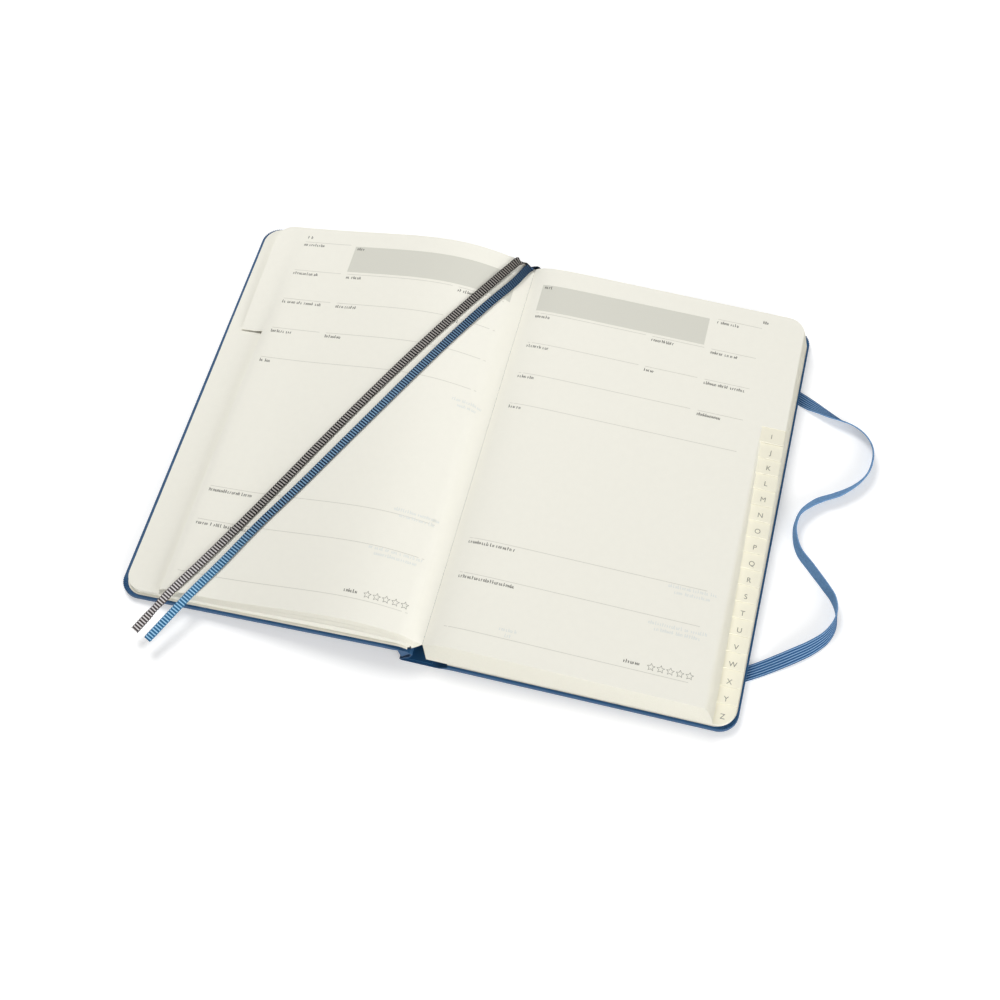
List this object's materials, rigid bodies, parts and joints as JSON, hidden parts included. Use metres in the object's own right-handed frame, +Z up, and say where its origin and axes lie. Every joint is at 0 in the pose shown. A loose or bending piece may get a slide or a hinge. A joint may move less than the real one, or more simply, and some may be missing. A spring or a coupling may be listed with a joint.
{
  "type": "reading journal",
  "caption": "Open hardcover reading journal with a thumb index cut into its leaves, ribbon markers, an elastic closure and a pocket inside the back cover.",
  "frame": {"origin": "on the surface the open journal lies on, under the middle of the two covers' overall width and height", "axes": "+X from the front cover on the left to the back cover on the right, +Y towards the head, +Z up"},
  "size_m": [0.3136, 0.2313, 0.0258],
  "materials": {
    "cover": "fine-grained dark blue leatherette, satin",
    "board": "grey-brown binder's board, hidden under the cover",
    "endpaper": "smooth ivory endpaper, matte",
    "gusset": "blue pocket gusset cloth, matte",
    "paper": "ivory paper, matte, printed in light grey",
    "elastic": "blue woven elastic with lengthwise ribs",
    "ribbon_grey": "dark grey grosgrain with light cross ribs",
    "ribbon_blue": "blue grosgrain with light cross ribs"
  },
  "bodies": {
    "back_cover": {"back_board": "board", "back_cloth": "cover", "back_pastedown": "endpaper", "pocket_gusset_head": "gusset", "pocket_gusset_tail": "gusset", "elastic_end_head": "elastic", "elastic_end_tail": "elastic", "elastic_loop": "elastic"},
    "spine": {"spine_card": "board", "spine_cloth": "cover", "front_joint": "cover", "back_joint": "cover"},
    "front_cover": {"front_board": "board", "front_cloth": "cover", "front_pastedown": "endpaper", "front_flyleaf": "endpaper", "front_matter": "paper", "section_a": "paper", "section_b": "paper", "section_c": "paper", "section_d": "paper", "section_e": "paper", "section_f": "paper", "section_g": "paper", "section_h": "paper", "left_page_leaf": "paper", "ribbon_grey": "ribbon_grey", "ribbon_blue": "ribbon_blue"},
    "pocket": {"pocket_panel": "endpaper"},
    "back_leaves": {"end_leaves": "endpaper", "spine_lining": "endpaper", "section_z": "paper", "section_y": "paper", "section_x": "paper", "section_w": "paper", "section_v": "paper", "section_u": "paper", "section_t": "paper", "section_s": "paper", "section_r": "paper"},
    "index_leaves": {"section_q": "paper", "section_p": "paper", "section_o": "paper", "section_n": "paper", "section_m": "paper", "section_l": "paper", "section_k": "paper", "section_j": "paper", "section_i": "paper"},
    "leaf_i": {"first_leaf_i": "paper"},
    "right_leaf": {"right_page_leaf": "paper"}
  },
  "joints": [
    {"name": "spine_fold", "type": "hinge", "parent": "back_cover", "child": "spine", "pos_m": [0.00528, 0, 0.00717], "axis": [0, 1, 0], "range_deg": [0, 90], "deforming": ["back_joint", "front_joint", "front_flyleaf", "front_matter", "section_a", "section_b", "section_c", "section_d", "section_e", "section_f", "section_g", "section_h", "left_page_leaf", "ribbon_grey", "ribbon_blue"]},
    {"name": "front_cover_fold", "type": "hinge", "parent": "spine", "child": "front_cover", "pos_m": [-0.0115, 0, 0.01444], "axis": [0, 1, 0], "range_deg": [0, 96.1]},
    {"name": "back_leaves_turn", "type": "hinge", "parent": "back_cover", "child": "back_leaves", "pos_m": [0.0023, 0, 0.0148], "axis": [0, 1, 0], "range_deg": [-46, 0]},
    {"name": "pocket_open", "type": "hinge", "parent": "back_cover", "child": "pocket", "pos_m": [0.1349, 0, 0.0045], "axis": [0, 1, 0], "range_deg": [0, 6], "deforming": ["pocket_gusset_head", "pocket_gusset_tail"]},
    {"name": "index_leaves_turn", "type": "hinge", "parent": "back_leaves", "child": "index_leaves", "pos_m": [0.0023, 0, 0.0148], "axis": [0, 1, 0], "range_deg": [-12, 0]},
    {"name": "leaf_i_turn", "type": "hinge", "parent": "index_leaves", "child": "leaf_i", "pos_m": [0.0023, 0, 0.0148], "axis": [0, 1, 0], "range_deg": [-10, 0], "deforming": ["first_leaf_i"]},
    {"name": "right_leaf_turn", "type": "hinge", "parent": "leaf_i", "child": "right_leaf", "pos_m": [0.0023, 0, 0.0148], "axis": [0, 1, 0], "range_deg": [-52, 0], "deforming": ["right_page_leaf"]}
  ],
  "couplings": [
    {"joint": "front_cover_fold", "follows": "spine_fold", "ratio": 1.0677},
    {"joint": "pocket_open", "follows": "back_leaves_turn", "ratio": -0.13}
  ]
}
